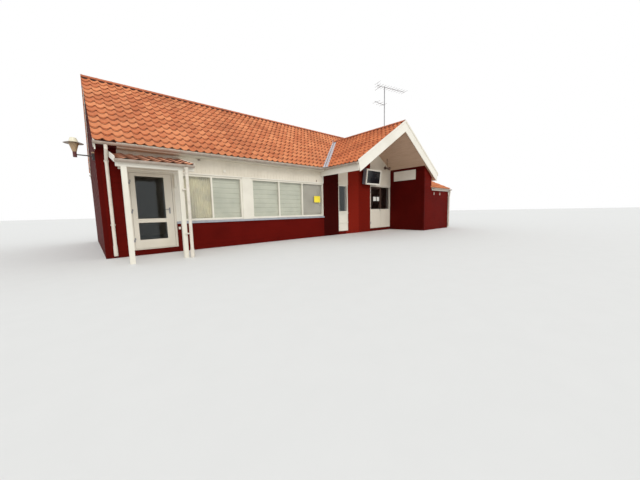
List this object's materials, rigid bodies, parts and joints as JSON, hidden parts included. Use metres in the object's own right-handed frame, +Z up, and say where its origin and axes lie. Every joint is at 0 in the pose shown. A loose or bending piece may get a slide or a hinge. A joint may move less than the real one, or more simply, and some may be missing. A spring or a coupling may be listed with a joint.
{
  "type": "railway station building",
  "caption": "Small station building with pantile roofs, a cross gable over a recessed entrance, a lean-to wing and a door porch.",
  "frame": {"origin": "at ground level on the outer corner of the front wall and the west gable wall", "axes": "+X along the front towards the cross gable, +Y from the front to the rear, +Z up"},
  "size_m": [16.12, 8.888, 6.954],
  "materials": {
    "red_boards": "painted dark red boards",
    "cream_boards": "painted cream boards",
    "door_paint": "painted cream",
    "white_boards": "painted off-white",
    "clay_tiles": "unglazed, weathered",
    "deck_boards": "stained brown boards",
    "gutter_metal": "grey-beige paint",
    "sheet_metal": "blue-grey sheet",
    "concrete": "smooth concrete",
    "window_glass": "clear",
    "blind_cloth": "grey-green cloth",
    "door_metal": "satin",
    "grey_housing": "grey paint",
    "display_glass": "dark",
    "antenna_metal": "dull",
    "lamp_paint": "pale enamel"
  },
  "bodies": {
    "building": {"antenna": "antenna_metal", "bargeboards": "white_boards", "display_front": "white_boards", "display_glass": "display_glass", "display_housing": "grey_housing", "door_bases": "red_boards", "downpipes": "gutter_metal", "east_gable_wall": "red_boards", "eave_boards": "white_boards", "fixed_hinges": "door_metal", "floor_slab": "concrete", "front_frieze": "cream_boards", "front_wall": "red_boards", "gable_deck": "deck_boards", "gable_fascias": "white_boards", "gable_tiles_east": "clay_tiles", "gable_tiles_west": "clay_tiles", "gutters": "gutter_metal", "lean_tiles": "clay_tiles", "loudspeakers": "grey_housing", "low_decks": "deck_boards", "main_deck_front": "deck_boards", "main_deck_rear": "deck_boards", "main_tiles_front": "clay_tiles", "main_tiles_rear": "clay_tiles", "platform_door_frame": "cream_boards", "porch_beam": "white_boards", "porch_door_frame": "cream_boards", "porch_posts": "white_boards", "porch_tiles": "clay_tiles", "rear_wall": "red_boards", "recess_panels": "cream_boards", "ridge_tiles": "clay_tiles", "side_light_frame": "cream_boards", "sign_panel": "white_boards", "valley_flashings": "sheet_metal", "vents": "white_boards", "verge_boards": "white_boards", "wall_lamp": "lamp_paint", "west_gable_wall": "red_boards", "window_blinds": "blind_cloth", "window_frames": "white_boards", "window_glass": "window_glass", "window_piers": "cream_boards", "window_sills": "sheet_metal", "wing_front_wall": "red_boards", "wing_side_wall": "red_boards", "wing_upper_walls": "cream_boards"},
    "porch_door": {"porch_door_leaf": "door_paint", "porch_door_glass": "window_glass", "porch_door_hinges": "door_metal", "porch_door_handle": "door_metal"},
    "platform_door": {"platform_door_leaf": "door_paint", "platform_door_glass": "window_glass", "platform_door_hinges": "door_metal", "platform_door_handle": "door_metal"}
  },
  "joints": [
    {"name": "porch_door_hinge", "type": "hinge", "parent": "building", "child": "porch_door", "pos_m": [0.633, 0.002, 1.2], "axis": [0, 0, -1], "range_deg": [0, 90]},
    {"name": "platform_door_hinge", "type": "hinge", "parent": "building", "child": "platform_door", "pos_m": [10.883, 0.002, 1.2], "axis": [0, 0, -1], "range_deg": [0, 95]}
  ]
}
